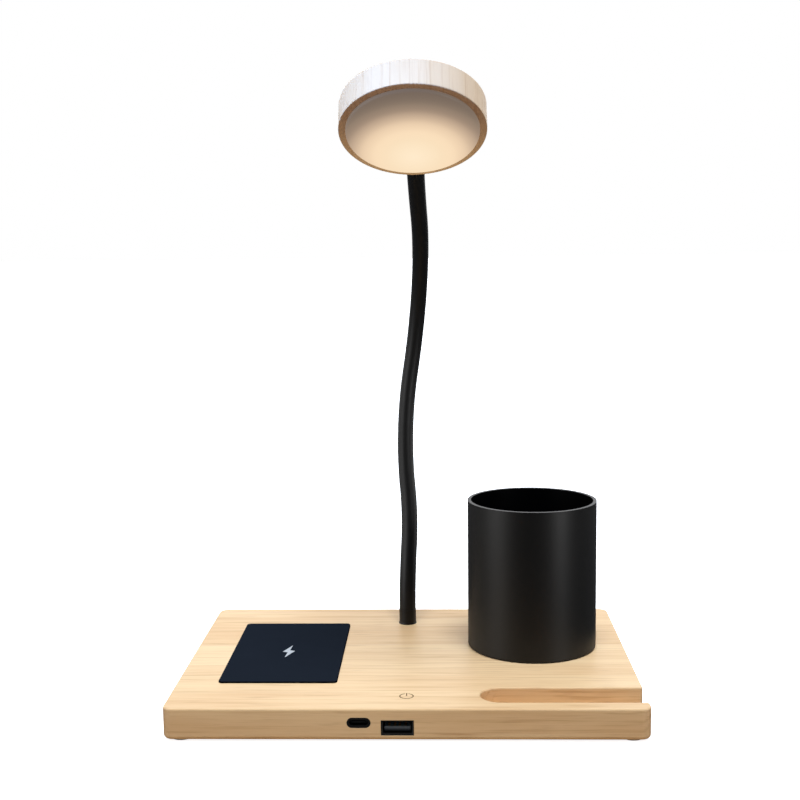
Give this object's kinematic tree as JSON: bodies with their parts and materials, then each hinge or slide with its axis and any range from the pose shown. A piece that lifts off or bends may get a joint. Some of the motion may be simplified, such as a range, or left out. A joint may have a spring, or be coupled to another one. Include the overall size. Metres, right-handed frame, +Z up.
{
  "type": "desk lamp with organizer",
  "caption": "Bamboo desk organizer base with a wireless charging pad, pen cup, phone slot and USB ports, carrying a round bamboo lamp head on a black bendable neck.",
  "frame": {"origin": "on the desk under the middle of the base board, level with the undersides of the feet", "axes": "+Z up, +X to the right seen from the front, the front of the base towards -Y"},
  "size_m": [0.21, 0.1669, 0.2896],
  "materials": {
    "bamboo": "satin lacquer",
    "cup_black": "fine matte",
    "pad_navy": "fine matte",
    "cover_black": "matte",
    "foot_rubber": "clear silicone",
    "neck_black": "soft matte",
    "steel": "plated",
    "port_black": "satin",
    "contact_gold": "plated",
    "coil_copper": "enamelled",
    "ferrite_grey": "matte",
    "circuit_green": "satin",
    "moulded_black": "satin",
    "port_grey": "satin",
    "lead_black": "satin",
    "light_board": "white coated",
    "light_chip": "satin",
    "opal": "opal satin"
  },
  "bodies": {
    "base": {"base_board": "bamboo", "pen_cup": "cup_black", "charging_pad": "pad_navy", "base_cover": "cover_black", "foot_front_left": "foot_rubber", "foot_front_right": "foot_rubber", "foot_back_left": "foot_rubber", "foot_back_right": "foot_rubber", "neck_base_fitting": "neck_black", "cover_screws": "steel", "circuit_screws": "steel", "cup_screws": "steel", "neck_washer": "steel", "neck_nut": "steel", "usb_a_shell": "port_black", "usb_c_shell": "port_black", "usb_a_contacts": "contact_gold", "touch_plate": "contact_gold", "touch_pin": "contact_gold", "charging_coil": "coil_copper", "coil_ferrite": "ferrite_grey", "circuit_board": "circuit_green", "circuit_parts": "moulded_black", "usb_c_tongue": "moulded_black", "usb_a_tongue": "port_grey", "lamp_lead": "lead_black", "coil_lead": "lead_black"},
    "neck_1": {"neck_tube_1": "neck_black", "neck_lead_1": "lead_black"},
    "neck_2": {"neck_tube_2": "neck_black", "neck_lead_2": "lead_black"},
    "neck_3": {"neck_tube_3": "neck_black", "neck_lead_3": "lead_black"},
    "neck_4": {"neck_tube_4": "neck_black", "neck_lead_4": "lead_black"},
    "neck_5": {"neck_tube_5": "neck_black", "neck_lead_5": "lead_black"},
    "neck_6": {"neck_tube_6": "neck_black", "neck_lead_6": "lead_black"},
    "neck_7": {"neck_tube_7": "neck_black", "neck_lead_7": "lead_black"},
    "neck_8": {"neck_tube_8": "neck_black", "neck_lead_8": "lead_black"},
    "head": {"neck_head_fitting": "neck_black", "head_shell": "bamboo", "diffuser": "opal", "led_board": "light_board", "led_chips": "light_chip", "led_screws": "steel", "grub_screw": "steel", "head_lead": "lead_black"}
  },
  "joints": [
    {"name": "neck_bend_1", "type": "hinge", "parent": "base", "child": "neck_1", "pos_m": [-0.002, 0.05, 0.0225], "axis": [1, 0, 0], "range_deg": [-25, 14]},
    {"name": "neck_bend_2", "type": "hinge", "parent": "neck_1", "child": "neck_2", "pos_m": [-0.00113, 0.05622, 0.05418], "axis": [-0.0103, 0.9259, -0.3777], "range_deg": [-22, 22]},
    {"name": "neck_bend_3", "type": "hinge", "parent": "neck_2", "child": "neck_3", "pos_m": [-0.00184, 0.06976, 0.08367], "axis": [0.9953, 0.0515, 0.0819], "range_deg": [-25, 14]},
    {"name": "neck_bend_4", "type": "hinge", "parent": "neck_3", "child": "neck_4", "pos_m": [-0.00296, 0.08226, 0.11359], "axis": [-0.0139, 0.9499, -0.3122], "range_deg": [-22, 22]},
    {"name": "neck_bend_5", "type": "hinge", "parent": "neck_4", "child": "neck_5", "pos_m": [0.00001, 0.08765, 0.14535], "axis": [0.988, -0.0163, -0.1534], "range_deg": [-25, 14]},
    {"name": "neck_bend_6", "type": "hinge", "parent": "neck_5", "child": "neck_6", "pos_m": [0.00408, 0.08208, 0.17691], "axis": [0.0613, 0.9345, 0.3506], "range_deg": [-22, 22]},
    {"name": "neck_bend_7", "type": "hinge", "parent": "neck_6", "child": "neck_7", "pos_m": [0.00608, 0.06555, 0.20462], "axis": [0.9962, -0.0445, -0.0751], "range_deg": [-25, 14]},
    {"name": "neck_bend_8", "type": "hinge", "parent": "neck_7", "child": "neck_8", "pos_m": [0.00593, 0.04164, 0.22651], "axis": [0.0816, 0.5784, 0.8117], "range_deg": [-22, 22]},
    {"name": "neck_bend_9", "type": "hinge", "parent": "neck_8", "child": "head", "pos_m": [0.0051, 0.01456, 0.24446], "axis": [0.9967, -0.0532, -0.061], "range_deg": [-25, 14]}
  ]
}
